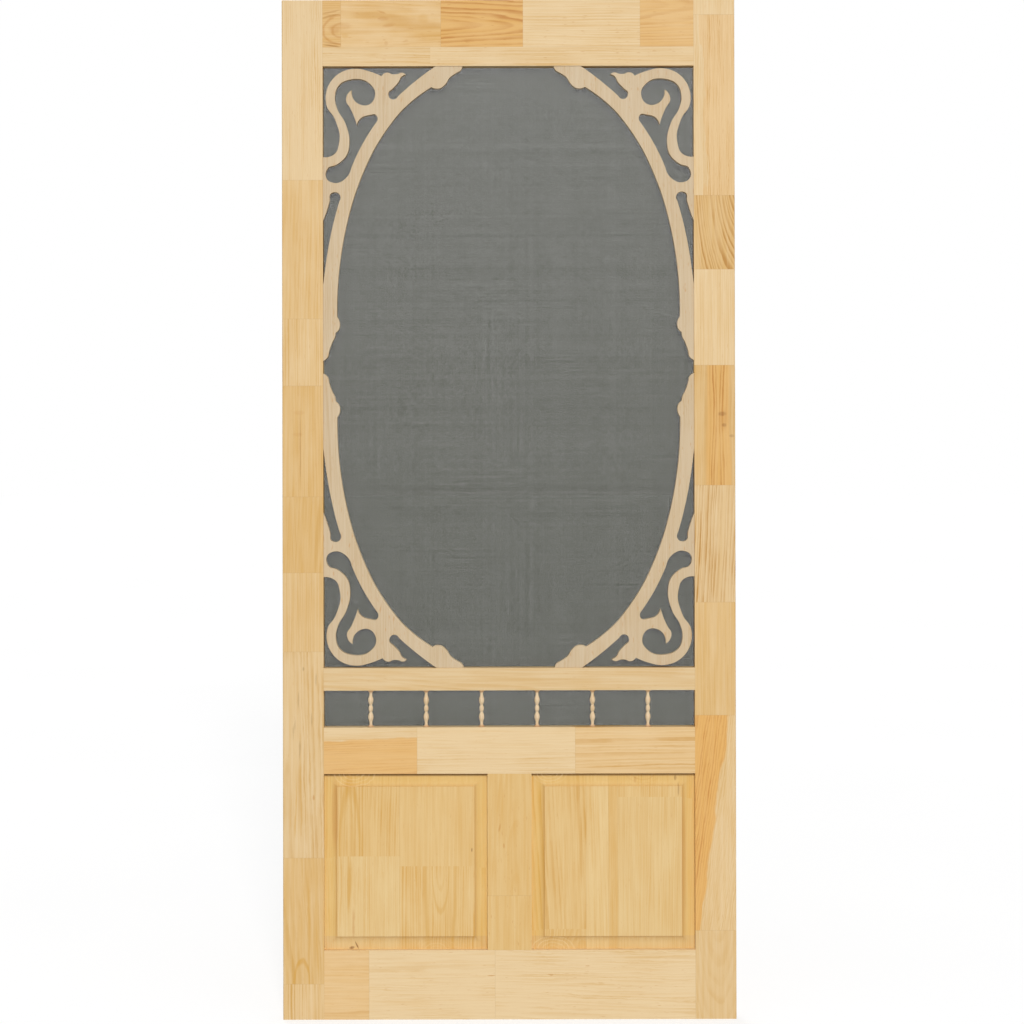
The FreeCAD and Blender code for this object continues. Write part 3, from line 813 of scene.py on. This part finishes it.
def spindles():
    """The row of six. The profile, alike at both ends, gives a height, a share of the radius and a corner."""
    count, steps, sides = 6, 140, 28
    dowel, half_length = 8.0, 37.2
    turning = [
        (-dowel, 0.48, "VECTOR"), (-0.05, 0.48, "VECTOR"), (0.0, 1.0, "VECTOR"), (2.0, 1.0, "VECTOR"),
        (2.4, 0.8, "VECTOR"), (4.4, 0.54, "AUTO"), (7.4, 0.46, "AUTO"), (11.4, 0.53, "AUTO"),
        (15.8, 0.74, "AUTO"), (19.6, 0.87, "AUTO"), (23.2, 0.81, "AUTO"), (27.4, 0.57, "AUTO"),
        (29.8, 0.43, "VECTOR"), (31.2, 0.43, "VECTOR"), (32.8, 0.6, "AUTO"), (half_length, 0.73, "AUTO"),
    ]
    length = 2 * (dowel + half_length)
    half = [((height + dowel) / length, radius, handle) for height, radius, handle in turning]
    profile = half + [(1 - place, radius, handle) for place, radius, handle in half[-2::-1]]
    low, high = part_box("spindle_1")
    second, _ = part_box("spindle_2")
    sizes = {
        "Foot": low.z, "Top": high.z, "Radius": 6.2 * MM, "Pitch": second.x - low.x,
        "First": (low.x + high.x) / 2, "Depth": (low.y + high.y) / 2,
    }
    lathe = Pattern("turned spindles", sizes)
    foot = lathe.vector(0.0, 0.0, lathe.size("Foot"))
    top = lathe.vector(0.0, 0.0, lathe.size("Top"))
    stick = lathe.node("GeometryNodeCurvePrimitiveLine", inputs={"Start": foot, "End": top})
    stick = lathe.node("GeometryNodeResampleCurve", inputs={"Curve": stick, "Count": steps})
    along = lathe.node("GeometryNodeSplineParameter")
    turned = lathe.node("ShaderNodeFloatCurve", {"points": profile}, {"Value": along}) * lathe.size("Radius")
    ring = lathe.node("GeometryNodeCurvePrimitiveCircle", inputs={"Resolution": sides, "Radius": 1.0})
    body = lathe.node(
        "GeometryNodeCurveToMesh",
        inputs={"Curve": stick, "Profile Curve": ring, "Scale": turned, "Fill Caps": True},
    )
    start = lathe.vector(lathe.size("First"), lathe.size("Depth"), 0.0)
    step = lathe.vector(lathe.size("Pitch"), 0.0, 0.0)
    row = lathe.node("GeometryNodeMeshLine", inputs={"Count": count, "Start Location": start, "Offset": step})
    placed = lathe.node("GeometryNodeInstanceOnPoints", inputs={"Points": row, "Instance": body})
    mesh = lathe.mesh(placed, spindle_finish((low.z + high.z) / 2, half_length * MM))
    mesh.shade_smooth()
    mesh.set_sharp_from_angle(angle=SHARP)
    keep("turned_spindles", mesh, "spindle_pine", *(f"spindle_{i}" for i in range(1, count + 1)))


spindles()


# Fretwork brackets: the sawn boards with their edges eased

# Where the boards begin, meet and end up the leaf, and how far their edges are rounded over
FRETWORK_FOOT, FRETWORK_MEETING, FRETWORK_TOP = 708.5, 1317.6, 1924.0
EASE = 0.7 * MM


def fretwork_finish():
    """Close-grained board, paler and pinker than the frame."""
    finish = Finish("fretwork pine")
    across = finish.x - MIDDLE * MM
    left = timber(finish, finish.z, FRETWORK_FOOT, [
        Block(FRETWORK_MEETING, 0.3, 0.25, 4.0, -420, 60, 0.03, wave=2.0, shade=0.08),
        Block(FRETWORK_TOP, 0.24, 0.25, 4.5, -160, 70, 0.02, wave=2.0, shade=0.08),
    ])
    right = timber(finish, finish.z, FRETWORK_FOOT, [
        Block(FRETWORK_MEETING, 0.34, 0.25, 4.0, 180, 70, 0.03, wave=2.0, shade=0.08),
        Block(FRETWORK_TOP, 0.26, 0.25, 4.2, 400, 60, -0.03, wave=2.0, shade=0.08),
    ])
    wood = choose(across > 0.0, left, right)
    return pine(finish, finish.z, across, wood, FRETWORK_PINE, 0.8)


def eased(node, width):
    """A copy of a sawn board with its sharp edges rounded over."""
    touching = 0.002 * MM
    flat, smooth = math.radians(0.5), math.radians(40)
    shape = bmesh.new()
    shape.from_mesh(nodes[node].data)
    bmesh.ops.remove_doubles(shape, verts=shape.verts, dist=touching)
    bmesh.ops.dissolve_limit(shape, angle_limit=flat, verts=shape.verts, edges=shape.edges)
    mesh = bpy.data.meshes.new(node)
    shape.to_mesh(mesh)
    shape.free()
    mesh.shade_smooth()
    mesh.set_sharp_from_angle(angle=smooth)
    maker = put("maker", mesh)
    bevel = maker.modifiers.new("ease", "BEVEL")
    bevel.width = width
    bevel.segments = 2
    bevel.limit_method = "ANGLE"
    bevel.angle_limit = SHARP
    bevel.harden_normals = True
    return baked(maker)


fretwork_material = fretwork_finish()
for corner in ("upper_left", "upper_right", "lower_left", "lower_right"):
    board = eased(corner + "_bracket", EASE)
    board.materials.clear()
    board.materials.append(fretwork_material)
    keep(corner + "_fretwork", board, "fretwork_pine", corner + "_bracket")


# Studio

FLOOR_GREY = tint(168, 168, 168)
FLOOR_PALE = tint(172, 172, 172)
WHITE = (1.0, 1.0, 1.0, 1.0)


def floor():
    """A wide pale floor that glows a little, so that it stays white under the leaf."""
    mesh = bpy.data.meshes.new("floor")
    far = 30.0
    mesh.from_pydata([(-far, -far, 0), (far, -far, 0), (far, far, 0), (-far, far, 0)], [], [(0, 1, 2, 3)])
    finish = Finish("pale floor")
    cloud = finish.noise(finish.vector(finish.x, finish.y, finish.z), scale=1.5)
    colour = finish.blend(cloud, FLOOR_GREY, FLOOR_PALE)
    plain = {"Specular_IOR_Level": 0.0, "Emission_Color": WHITE, "Emission_Strength": 0.63}
    mesh.materials.append(finish.surface(colour, 0.85 + cloud * 0.1, cloud, 0.0002, **plain))
    ground = put("floor", mesh)
    ground.visible_diffuse = False
    ground.visible_glossy = False
    ground.visible_shadow = False


def lamp(name, energy, angle, way):
    """A broad soft lamp far away, that shines from one way."""
    light = bpy.data.lights.new(name, "SUN")
    light.energy = energy
    light.angle = math.radians(angle)
    away = 5.0
    holder = put(name, light)
    holder.location = Vector(way) * away
    holder.rotation_euler = (-Vector(way)).to_track_quat("-Z", "Y").to_euler()


def studio_light():
    """A white room, dim from below, with a broad lamp in front and a weaker one behind."""
    world = bpy.data.worlds.new("studio")
    world.use_nodes = True
    bpy.context.scene.world = world
    sky = Tree(world.node_tree)
    sky.tree.nodes.clear()
    way = sky.node("ShaderNodeTexCoord", output="Generated")
    height = sky.node("ShaderNodeSeparateXYZ", inputs={0: way}).output("Z")
    seen = sky.node("ShaderNodeLightPath", output="Is Camera Ray")
    below, more_above = 0.44, 0.14
    dome = height.rise(-0.3, 0.1) * more_above + below
    strength = dome + (1 - dome) * seen
    light = sky.node("ShaderNodeBackground", inputs={"Color": WHITE, "Strength": strength})
    sky.node("ShaderNodeOutputWorld", inputs={"Surface": light})
    lamp("front lamp", energy=1.64, angle=12, way=(0.12, -1.0, 0.45))
    lamp("back lamp", energy=1.0, angle=30, way=(-0.4, 1.0, 0.5))


def camera():
    """Square in front of the leaf: shown is how much of the leaf's face is in view from side to side."""
    distance, height, sideways = 3.8, 1.19, 0.4637
    middle_height = 1.0231
    shown = 2.066944
    sensor = 36.0
    pitch, roll = math.radians(0.15), math.radians(0.115)
    view = bpy.data.cameras.new("camera")
    view.sensor_width = sensor
    view.lens = sensor * distance / shown
    view.shift_y = (middle_height - height - distance * math.tan(pitch)) / shown
    holder = put("camera", view)
    holder.location = (sideways, -LEAF_THICKNESS / 2 * MM - distance, height)
    holder.rotation_euler = Euler((math.pi / 2 + pitch, roll, 0.0))
    bpy.context.scene.camera = holder


floor()
studio_light()
camera()
bpy.context.scene.view_settings.view_transform = "Standard"
